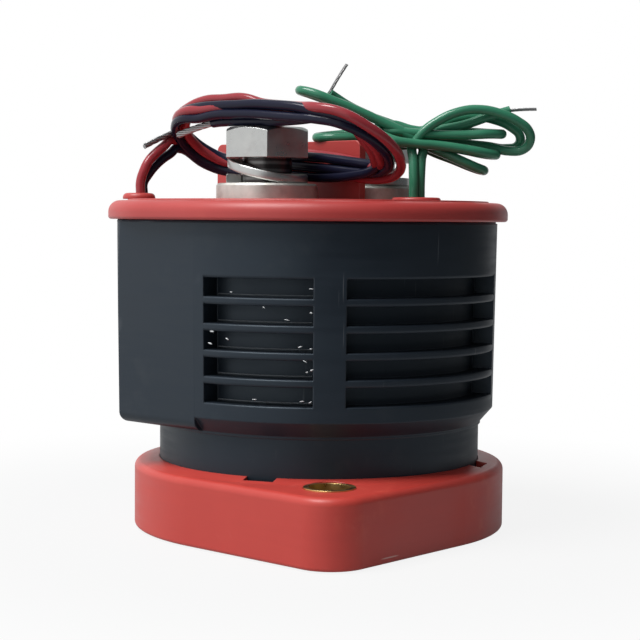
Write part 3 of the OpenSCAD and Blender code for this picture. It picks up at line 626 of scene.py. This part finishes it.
blackBodySet = {
    "dark": (0.0078, 0.0113, 0.017, 1), "light": (0.0133, 0.0192, 0.028, 1), "wornAndSheen": (0.045, 0.05, 0.06, 1),
    "pale": (0.30, 0.31, 0.33, 1), "blot": (0.022, 0.026, 0.032, 1), "blotShow": 0.5,
    "edgeWearAndSheen": 0.7, "dust": 0.5, "dustShow": 0.10, "dustRough": 0.2, "scratch": 0.2,
    "grain": 2200.0, "flow": 0.8, "rough": (0.40, 0.52), "gloss": 0.45, "bump": 0.14, "edge": 0.0003,
    "glossTint": (0.74, 0.88, 1, 1),
}
plainSet = dict(blackBodySet, blotShow=0)
nylonSet = dict(plainSet, dark=(0.62, 0.60, 0.52, 1), light=(0.74, 0.72, 0.64, 1), pale=(0.8, 0.78, 0.72, 1),
                wornAndSheen=(0.8, 0.78, 0.7, 1))
boardSet = dict(plainSet, dark=(0.02, 0.10, 0.045, 1), light=(0.03, 0.15, 0.065, 1),
                wornAndSheen=(0.35, 0.33, 0.2, 1))
ceramicSet = dict(plainSet, dark=(0.70, 0.68, 0.63, 1), light=(0.80, 0.78, 0.73, 1),
                  pale=(0.85, 0.83, 0.8, 1), wornAndSheen=(0.85, 0.83, 0.8, 1))
ferriteSet = dict(plainSet, dark=(0.030, 0.030, 0.033, 1), light=(0.055, 0.055, 0.06, 1))
# the flash ridges' pale grey is a painted highlight on the black plastic
flashHighlightSet = dict(plainSet, dark=(0.10, 0.11, 0.12, 1), light=(0.20, 0.21, 0.22, 1), edge=0.00003)
crumbTone = dict(plainSet, dark=(0.55, 0.56, 0.57, 1), light=(0.75, 0.75, 0.75, 1), edge=0.00003)


def metalFinish(name, s):
    material, tree, shader, place = newFinish(name, Metallic=1.0)
    skin = useGroup(tree, platedMetal, place, Grain=s["grain"])
    edge = useGroup(tree, softEdge, Radius=s["edge"])
    marks = useGroup(tree, handlingMarks, place, Spread=s["dust"], Scratch=s["scratch"])
    body = mixTone(tree, skin["Tone"], s["dark"], s["light"])
    dull = mathNode(tree, "MULTIPLY", skin["Tarnish"], s["tarnishShow"])
    body = mixTone(tree, dull, body, s["tarnish"])
    body = mixTone(tree, marks["Lines"], body, s["light"])
    # painted shade: the bolt's shank below the head is darkened
    if "thread" in s:
        body = mixTone(tree, threadMask(tree, place, s["thread"]), body, s["threadTone"])
    tree.links.new(body, shader.inputs["Base Color"])
    tree.links.new(rangeNode(tree, skin["Tone"], *toneSpan, *s["rough"]), shader.inputs["Roughness"])
    bump = bumpNormal(tree, skin["Height"], s["bump"], metalDepth, edge["Normal"])
    tree.links.new(bump, shader.inputs["Normal"])
    return material


def threadMask(tree, place, s):
    # painted shade on the shank below the head, darkest in bands one thread pitch apart
    split = tree.nodes.new("ShaderNodeSeparateXYZ")
    tree.links.new(place, split.inputs[0])
    height = split.outputs["Z"]
    turn = mathNode(tree, "FRACT", mathNode(tree, "DIVIDE", height, s["pitch"] * mm))
    aside = mathNode(tree, "ABSOLUTE", mathNode(tree, "SUBTRACT", turn, 0.5))
    groove = rangeNode(tree, aside, *s["flank"], *s["show"])
    return mathNode(tree, "MULTIPLY", groove, mathNode(tree, "LESS_THAN", height, s["top"] * mm))


nickelSet = {
    "dark": (0.43, 0.435, 0.43, 1), "light": (0.575, 0.585, 0.57, 1), "tarnish": (0.29, 0.26, 0.255, 1),
    "tarnishShow": 0.4, "grain": 800.0, "rough": (0.26, 0.38), "bump": 0.10, "edge": 0.00012,
    "dust": 0.6, "scratch": 0.4,
}
padSet = dict(nickelSet, dark=(0.41, 0.40, 0.36, 1), light=(0.84, 0.83, 0.79, 1),
              tarnish=(0.32, 0.27, 0.22, 1), tarnishShow=0.55, rough=(0.42, 0.58))
# painted shade on the shank: where it stops, the band pitch and its dark share
threadSet = {"top": 60.75, "pitch": 1.25, "flank": (0.42, 0.2), "show": (0.75, 1.0)}
boltSet = dict(nickelSet, thread=threadSet, threadTone=(0.05, 0.045, 0.045, 1))
steelSet = dict(nickelSet, dark=(0.42, 0.42, 0.42, 1), light=(0.56, 0.56, 0.57, 1))
brassSet = dict(nickelSet, dark=(0.60, 0.42, 0.16, 1), light=(0.86, 0.63, 0.28, 1),
                tarnish=(0.34, 0.22, 0.08, 1), rough=(0.24, 0.38))
copperSet = dict(nickelSet, dark=(0.62, 0.30, 0.18, 1), light=(0.78, 0.40, 0.26, 1),
                 tarnish=(0.30, 0.14, 0.08, 1))
tinSet = dict(nickelSet, dark=(0.24, 0.24, 0.245, 1), light=(0.44, 0.44, 0.44, 1), rough=(0.26, 0.42),
              edge=0.00003)


insulationSet = {
    "grain": 1400.0, "flow": 0.2, "dust": 0.7, "dustShow": 0.2, "scratch": 0.2,
    "rough": (0.15, 0.26), "bump": 0.10,
}


def leadInsulation(name, tones):
    s = dict(insulationSet, **tones)
    material, tree, shader, place = newFinish(name, IOR=1.5)
    shader.inputs["Specular IOR Level"].default_value = s["gloss"]
    skin = useGroup(tree, mouldSkin, place, Grain=s["grain"], Flow=s["flow"])
    marks = useGroup(tree, handlingMarks, place, Spread=s["dust"], Scratch=s["scratch"])
    body = mixTone(tree, skin["Tone"], s["dark"], s["light"])
    dusty = mathNode(tree, "MULTIPLY", marks["Mask"], s["dustShow"])
    tree.links.new(mixTone(tree, dusty, body, s["pale"]), shader.inputs["Base Color"])
    tree.links.new(rangeNode(tree, skin["Tone"], *toneSpan, *s["rough"]), shader.inputs["Roughness"])
    tree.links.new(bumpNormal(tree, skin["Height"], s["bump"], metalDepth), shader.inputs["Normal"])
    return material


redLeadTone = {
    "dark": (0.26, 0.024, 0.032, 1), "light": (0.36, 0.044, 0.054, 1), "pale": (0.6, 0.4, 0.4, 1),
    "gloss": 0.36,
}
blackLeadTone = {
    "dark": (0.007, 0.008, 0.020, 1), "light": (0.013, 0.014, 0.034, 1), "pale": (0.04, 0.04, 0.07, 1),
    "gloss": 0.2,
}
greenLeadTone = {
    "dark": (0.030, 0.165, 0.090, 1), "light": (0.045, 0.235, 0.135, 1), "pale": (0.3, 0.4, 0.35, 1),
    "gloss": 0.36,
}

finishes = {
    "redBase": mouldedPlastic("redBase", dict(redBaseSet, nick=nickSet)),
    "redCover": mouldedPlastic("redCover", redCoverSet),
    "blackBody": mouldedPlastic("blackBody", blackBodySet),
    "nylon": mouldedPlastic("whiteNylon", nylonSet),
    "board": mouldedPlastic("coilBoard", boardSet),
    "ceramic": mouldedPlastic("arcCeramic", ceramicSet),
    "ferrite": mouldedPlastic("magnetFerrite", ferriteSet),
    "flash": mouldedPlastic("mouldFlashPaintedHighlight", flashHighlightSet),
    "crumb": mouldedPlastic("flashCrumb", crumbTone),
    "nickel": metalFinish("nickelPlate", nickelSet),
    "bolt": metalFinish("boltPlate", boltSet),
    "pad": metalFinish("terminalPlate", padSet),
    "steel": metalFinish("yokeSteel", steelSet),
    "brass": metalFinish("bushBrass", brassSet),
    "copper": metalFinish("windingCopper", copperSet),
    "tin": metalFinish("tinnedStrand", tinSet),
    "redLead": leadInsulation("redInsulation", redLeadTone),
    "blackLead": leadInsulation("blackInsulation", blackLeadTone),
    "greenLead": leadInsulation("greenInsulation", greenLeadTone),
}
print(len(finishes), "finishes mixed")


# node trees for what repeats, each baked to a plain mesh

def newTree(name, inputs):
    tree = bpy.data.node_groups.new(name, "GeometryNodeTree")
    for label, kind, value in inputs:
        socket = tree.interface.new_socket(label, in_out="INPUT", socket_type="NodeSocket" + kind)
        if value is not None:
            socket.default_value = value
    tree.interface.new_socket("Geometry", in_out="OUTPUT", socket_type="NodeSocketGeometry")
    return tree, tree.nodes.new("NodeGroupInput").outputs, tree.nodes.new("NodeGroupOutput")


def addNode(tree, kind, links=(), **values):
    node = tree.nodes.new("GeometryNode" + kind)
    for key, source in dict(links).items():
        tree.links.new(source, node.inputs[key])
    for key, value in values.items():
        node.inputs[key].default_value = value
    return node


def closeTree(tree, shape, finish, end):
    real = addNode(tree, "RealizeInstances", {"Geometry": shape})
    soft = addNode(tree, "SetShadeSmooth", {"Geometry": real.outputs[0]})
    coat = addNode(tree, "SetMaterial", {"Geometry": soft.outputs[0], "Material": finish})
    tree.links.new(coat.outputs[0], end.inputs["Geometry"])
    return tree


def bakePiece(name, tree, values, seat=None):
    maker = linkPiece(name + "Maker", seat or bpy.data.meshes.new(name + "Maker"))
    modifier = maker.modifiers.new(name, "NODES")
    modifier.node_group = tree
    for item in tree.interface.items_tree:
        if item.in_out == "INPUT" and item.name in values:
            modifier[item.identifier] = values[item.name]
    shot = maker.evaluated_get(bpy.context.evaluated_depsgraph_get())
    data = bpy.data.meshes.new_from_object(shot)
    data.name = name
    maker.modifiers.remove(modifier)
    bpy.data.objects.remove(maker)
    piece = linkPiece(name, data)
    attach(piece, "contactor")
    return piece


# stripped ends: tinned strands round a core, twisted a little

tipSet = {
    "strands": 6,
    "twist": 0.9,      # turns in the length
    "sag": 0.05,       # bend of the tip against its length
    "swell": 1.08,     # strands pressed a little into each other
    "orbit": 0.96,
    "steps": 26,
    "sides": 10,
    # foot, plan, rise, length, diameter
    "redTip": ((-14.6, 18.9, 65.9), 166.8, -21, 7.5, 0.95),
    "blackTip": ((-18, 7.4, 66.5), 89, -8.7, 8.6, 1.1),
    "greenTipA": ((0.2, -1.5, 72), -47.7, 62, 5.6, 0.56),
    "greenTipB": ((20.5, -23.8, 69.4), -47.7, 6, 4.4, 0.56),
}


def twistedStrands():
    inputs = [("Length", "Float", 0.008), ("Strand", "Float", 0.0002), ("Orbit", "Float", 0.0004),
              ("Turns", "Float", 1.0), ("Strands", "Int", 6), ("Sag", "Float", 0.0), ("Foot", "Vector", None),
              ("Turn", "Vector", None), ("Finish", "Material", None)]
    tree, given, end = newTree("twistedStrands", inputs)
    straight = addNode(tree, "CurvePrimitiveLine")
    straight.inputs["End"].default_value = (1, 0, 0)
    knots = addNode(tree, "ResampleCurve", {"Curve": straight.outputs[0]}, Count=tipSet["steps"])
    copies = tree.nodes.new("GeometryNodeDuplicateElements")
    copies.domain = "SPLINE"
    tree.links.new(knots.outputs[0], copies.inputs["Geometry"])
    tree.links.new(given["Strands"], copies.inputs["Amount"])
    t = addNode(tree, "SplineParameter").outputs["Factor"]
    start = mathNode(tree, "DIVIDE", copies.outputs["Duplicate Index"], given["Strands"])
    turned = mathNode(tree, "ADD", start, mathNode(tree, "MULTIPLY", t, given["Turns"]))
    angle = mathNode(tree, "MULTIPLY", turned, math.tau)
    droop = mathNode(tree, "MULTIPLY", mathNode(tree, "MULTIPLY", t, t), given["Sag"])
    x = mathNode(tree, "MULTIPLY", t, given["Length"])
    twisted = tree.nodes.new("ShaderNodeCombineXYZ")
    tree.links.new(x, twisted.inputs["X"])
    aside = mathNode(tree, "MULTIPLY", mathNode(tree, "COSINE", angle), given["Orbit"])
    tree.links.new(aside, twisted.inputs["Y"])
    rise = mathNode(tree, "MULTIPLY", mathNode(tree, "SINE", angle), given["Orbit"])
    tree.links.new(mathNode(tree, "SUBTRACT", rise, droop), twisted.inputs["Z"])
    core = tree.nodes.new("ShaderNodeCombineXYZ")
    tree.links.new(x, core.inputs["X"])
    tree.links.new(mathNode(tree, "MULTIPLY", droop, -1), core.inputs["Z"])
    outer = addNode(tree, "SetPosition", {"Geometry": copies.outputs[0], "Position": twisted.outputs[0]})
    inner = addNode(tree, "SetPosition", {"Geometry": knots.outputs[0], "Position": core.outputs[0]})
    both = addNode(tree, "JoinGeometry", {"Geometry": outer.outputs[0]})
    tree.links.new(inner.outputs[0], both.inputs["Geometry"])
    ring = addNode(tree, "CurvePrimitiveCircle", {"Radius": given["Strand"]}, Resolution=tipSet["sides"])
    tube = addNode(tree, "CurveToMesh", {"Curve": both.outputs[0], "Profile Curve": ring.outputs[0]})
    tube.inputs["Fill Caps"].default_value = True
    placed = addNode(tree, "Transform", {"Geometry": tube.outputs[0], "Translation": given["Foot"],
                                         "Rotation": given["Turn"]})
    return closeTree(tree, placed.outputs[0], given["Finish"], end)


strandTree = twistedStrands()


def makeTip(name, node):
    foot, plan, rise, length, diameter = tipSet[name]
    values = {
        "Length": length * mm, "Strand": diameter / 6 * tipSet["swell"] * mm,
        "Orbit": diameter / 3 * tipSet["orbit"] * mm, "Turns": tipSet["twist"], "Strands": tipSet["strands"],
        "Sag": tipSet["sag"] * length * mm, "Foot": Vector(foot) * mm,
        "Turn": (0, -math.radians(rise), math.radians(plan)), "Finish": finishes["tin"],
    }
    piece = bakePiece(name, strandTree, values)
    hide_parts(node)
    return piece


tips = {
    "redCoilLead": makeTip("redTip", "red_lead_tip"),
    "blackCoilLead": makeTip("blackTip", "black_lead_tip"),
    "greenLeadA": makeTip("greenTipA", "green_lead_a_tip"),
    "greenLeadB": makeTip("greenTipB", "green_lead_b_tip"),
}
print("tinned ends twisted")


# mould flash: a fine ridge along the foot of each pocket, its pale tone a painted highlight

flashLineSet = {
    "groups": [(49.9, 36.1), (184, 36.1)],    # start and sweep, degrees
    "inset": 0.6,         # degrees left free at each end
    "radius": 25.98,      # pocket floor
    "rows": 5,
    "bottom": 22.9,
    "pitch": 4.12,
    "thickness": 0.13,
    "steps": 40,
    "sides": 6,
}


def pocketFlash():
    inputs = [("Radius", "Float", 0.026), ("Start", "Float", 0.0), ("Sweep", "Float", 1.0),
              ("Rows", "Int", 5), ("Bottom", "Float", 0.02), ("Pitch", "Float", 0.004),
              ("Thickness", "Float", 0.0002), ("Finish", "Material", None)]
    tree, given, end = newTree("pocketFlash", inputs)
    arc = addNode(tree, "CurveArc", {"Radius": given["Radius"], "Start Angle": given["Start"],
                                     "Sweep Angle": given["Sweep"]},
                  Resolution=flashLineSet["steps"])
    ring = addNode(tree, "CurvePrimitiveCircle", {"Radius": given["Thickness"]},
                   Resolution=flashLineSet["sides"])
    ridge = addNode(tree, "CurveToMesh", {"Curve": arc.outputs[0], "Profile Curve": ring.outputs[0]})
    ridge.inputs["Fill Caps"].default_value = True
    first, step = tree.nodes.new("ShaderNodeCombineXYZ"), tree.nodes.new("ShaderNodeCombineXYZ")
    tree.links.new(given["Bottom"], first.inputs["Z"])
    tree.links.new(given["Pitch"], step.inputs["Z"])
    rows = addNode(tree, "MeshLine", {"Count": given["Rows"], "Start Location": first.outputs[0],
                                      "Offset": step.outputs[0]})
    spread = addNode(tree, "InstanceOnPoints", {"Points": rows.outputs[0], "Instance": ridge.outputs[0]})
    return closeTree(tree, spread.outputs[0], given["Finish"], end)


flashTree = pocketFlash()
for i, (start, sweep) in enumerate(flashLineSet["groups"]):
    s = flashLineSet
    values = {
        "Radius": s["radius"] * mm, "Start": math.radians(start + s["inset"]),
        "Sweep": math.radians(sweep - 2 * s["inset"]), "Rows": s["rows"], "Bottom": s["bottom"] * mm,
        "Pitch": s["pitch"] * mm, "Thickness": s["thickness"] * mm, "Finish": finishes["flash"],
    }
    bakePiece("pocketFlash%d" % (i + 1), flashTree, values)
print("pocket flash laid")


# crumbs of flash left on the pockets' edges

crumbSet = {
    "seed": 7,
    "size": 0.16,
    "radius": 29.22,
    "lean": 0.6,                                       # radians either way
    "stretch": ((0.8, 0.4, 0.4), (3.2, 0.8, 0.9)),     # least and most
    # plan angle, height
    "spots": [(194.3, 39.87), (205.1, 37.65), (212.2, 35.85), (187.4, 33.68), (186.7, 31.82), (193.0, 32.65),
              (216.2, 31.80), (219.4, 40.58), (219.4, 36.96), (219.4, 31.52), (218.3, 27.97), (219.7, 28.30),
              (217.7, 29.60), (202.3, 23.60), (216.9, 23.54), (219.3, 23.42)],
}


def flashCrumbs():
    inputs = [("Spots", "Geometry", None), ("Size", "Float", 0.0002), ("Seed", "Int", 1),
              ("Finish", "Material", None)]
    tree, given, end = newTree("flashCrumbs", inputs)
    crumb = addNode(tree, "MeshIcoSphere", {"Radius": given["Size"]}, Subdivisions=1)
    lean, size = tree.nodes.new("FunctionNodeRandomValue"), tree.nodes.new("FunctionNodeRandomValue")
    most = crumbSet["lean"]
    for node, low, high in ((lean, (0, -most, 0), (0, most, 0)), (size, *crumbSet["stretch"])):
        node.data_type = "FLOAT_VECTOR"
        node.inputs["Min"].default_value = low
        node.inputs["Max"].default_value = high
        tree.links.new(given["Seed"], node.inputs["Seed"])
    split, turn = tree.nodes.new("ShaderNodeSeparateXYZ"), tree.nodes.new("ShaderNodeCombineXYZ")
    tree.links.new(addNode(tree, "InputPosition").outputs[0], split.inputs[0])
    plan = mathNode(tree, "ARCTAN2", split.outputs["Y"], split.outputs["X"])
    tree.links.new(mathNode(tree, "ADD", plan, math.pi / 2), turn.inputs["Z"])
    both = tree.nodes.new("ShaderNodeVectorMath")    # along the wall, leaning a little
    tree.links.new(turn.outputs[0], both.inputs[0])
    tree.links.new(lean.outputs[0], both.inputs[1])
    spread = addNode(tree, "InstanceOnPoints", {"Points": given["Spots"], "Instance": crumb.outputs[0],
                                                "Rotation": both.outputs[0], "Scale": size.outputs[0]})
    return closeTree(tree, spread.outputs[0], given["Finish"], end)


def makeCrumbs(s):
    seat = bpy.data.meshes.new("crumbSpots")
    plans = [(math.radians(a), z) for a, z in s["spots"]]
    r = s["radius"] * mm
    seat.from_pydata([(r * math.cos(a), r * math.sin(a), z * mm) for a, z in plans], [], [])
    values = {"Size": s["size"] * mm, "Seed": s["seed"], "Finish": finishes["crumb"]}
    piece = bakePiece("flashCrumbs", flashCrumbs(), values, seat)


makeCrumbs(crumbSet)
print("crumbs of flash set")


# split spring washers, laid as a rising ring on each pad

washerSet = {
    "bolts": [(-13.1, 150), (13.1, 75)],    # front and far: place in X, plan angle of the free end
    "inner": 4.15, "outer": 6.6, "thickness": 1.5, "corner": 0.22,
    "cornerShare": 0.3,     # rounds the outer corners
    "seat": 56.72,          # top of the pad
    "under": 60.72,         # underside of the bolt's head
    "flatShare": 0.72,      # share that lies on the pad
    "easing": 1.3,          # how the free part rises
    "opening": 12,          # degrees
    "steps": 120,
}


def makeWashers(s):
    shape = bmesh.new()
    lift = s["under"] - s["seat"] - s["thickness"]
    c, low, high = s["corner"], 0, s["thickness"]
    inner, outer, bit = s["inner"], s["outer"], c * s["cornerShare"]
    section = [(inner + c, low), (outer - c, low), (outer - bit, low + bit), (outer, low + c),
               (outer, high - c), (outer - bit, high - bit), (outer - c, high), (inner + c, high),
               (inner, high - c), (inner, low + c)]
    for x, begin in s["bolts"]:
        last = None
        for i in range(s["steps"] + 1):
            u = i / s["steps"]
            a = math.radians(begin + (360 - s["opening"]) * u)
            z = s["seat"] + lift * max(0, 1 - u / (1 - s["flatShare"])) ** s["easing"]
            places = [(x + r * math.cos(a), r * math.sin(a), z + h) for r, h in section]
            ring = [shape.verts.new((p[0] * mm, p[1] * mm, p[2] * mm)) for p in places]
            if last:
                for j in range(len(ring)):
                    k = (j + 1) % len(ring)
                    shape.faces.new((last[j], last[k], ring[k], ring[j]))
            else:
                shape.faces.new(ring[::-1])
            last = ring
        shape.faces.new(last)
    bmesh.ops.recalc_face_normals(shape, faces=shape.faces)
    data = bpy.data.meshes.new("springWashers")
    shape.to_mesh(data)
    shape.free()
    data.materials.append(finishes["nickel"])
    piece = linkPiece("springWashers", data)
    for face in data.polygons:
        face.use_smooth = len(face.vertices) == 4
    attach(piece, "contactor")
    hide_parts("spring_washers")


makeWashers(washerSet)
print("spring washers laid")


# sealant in the joint between the body and the cover's rim

sealSet = {
    "level": 50.5,     # the body's top face
    "inset": 0.42,     # centre of the bead, in from the body's edge
    "halfWidth": 0.34,
    "halfHeight": 0.42,
    "spacing": 1.2,    # between sections along the joint
    "sides": 8,
    "wander": 0.07,    # how unevenly the bead was laid
    "waves": [(0.37, 0), (0.83, 1)],
    "sameLevel": 1e-5,
}


def jointLine(s):
    level = s["level"] * mm
    rim = [v.co.xy for v in parts["housing"].data.vertices if abs(v.co.z - level) < s["sameLevel"]]
    corners = [rim[i] for i in convex_hull_2d(rim)]
    line = []
    for here, after in zip(corners, corners[1:] + corners[:1]):
        count = max(1, round((after - here).length / (s["spacing"] * mm)))
        line += [here.lerp(after, i / count) for i in range(count)]
    return line


def makeSeal(s):
    shape = bmesh.new()
    line = jointLine(s)
    rings = []
    for i, edge in enumerate(line):
        out = edge.normalized()
        swell = s["wander"] * sum(math.sin(pace * i + begin) for pace, begin in s["waves"])
        ring = []
        for j in range(s["sides"]):
            a = 2 * math.pi * j / s["sides"]
            across = -s["inset"] + (s["halfWidth"] + swell) * math.cos(a)
            place = edge + out * across * mm
            height = s["level"] + s["halfHeight"] * math.sin(a)
            ring.append(shape.verts.new((place.x, place.y, height * mm)))
        rings.append(ring)
    for ring, after in zip(rings, rings[1:] + rings[:1]):
        for j in range(s["sides"]):
            k = (j + 1) % s["sides"]
            shape.faces.new((ring[j], ring[k], after[k], after[j]))
    bmesh.ops.recalc_face_normals(shape, faces=shape.faces)
    data = bpy.data.meshes.new("sealBead")
    shape.to_mesh(data)
    shape.free()
    data.shade_smooth()
    data.materials.append(finishes["blackBody"])
    piece = linkPiece("sealBead", data)
    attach(piece, "contactor")


makeSeal(sealSet)
print("seal laid")


# which finish each node that shows as CAD wears, and each lead

wornBy = {
    "redBase": ["mounting_base"],
    "redCover": ["top_cover", "coil_lead_grommet", "aux_lead_grommet"],
    "blackBody": ["housing"],
    "brass": ["mounting_bushes"],
    "pad": ["positive_terminal", "negative_terminal"],
    "bolt": ["terminal_bolts"],
    "steel": ["yoke_cup", "yoke_top_plate", "fixed_core", "plunger", "drive_shaft", "return_spring",
              "contact_spring", "retaining_clip", "magnet_clip", "plunger_guide_cup"],
    "nylon": ["coil_bobbin", "spring_seat"],
    "copper": ["coil_winding", "contact_bridge"],
    "board": ["coil_board"],
    "ceramic": ["arc_chamber"],
    "ferrite": ["blowout_magnets"],
    "blackLead": ["aux_switch"],
}
leadFinish = {"redCoilLead": "redLead", "blackCoilLead": "blackLead", "greenLeadA": "greenLead",
              "greenLeadB": "greenLead"}


def dress(piece, finish):
    piece.data.materials.clear()
    piece.data.materials.append(finishes[finish])


for finish, names in wornBy.items():
    for name in names:
        dress(parts[name], finish)
for name, finish in leadFinish.items():
    dress(made[name][0], finish)
print("finishes on", sum(len(n) for n in wornBy.values()), "nodes")


# springs copied out of their nodes: node, body at the foot, body at the head

springSet = {
    "returnSpring": ("return_spring", "armature", "contactor"),
    "contactSpring": ("contact_spring", "armature", "moving_contact"),
}

for name, (node, foot, head) in springSet.items():
    piece = linkPiece(name, parts[node].data.copy())
    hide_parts(node)
    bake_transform(piece)

bpy.context.view_layer.update()
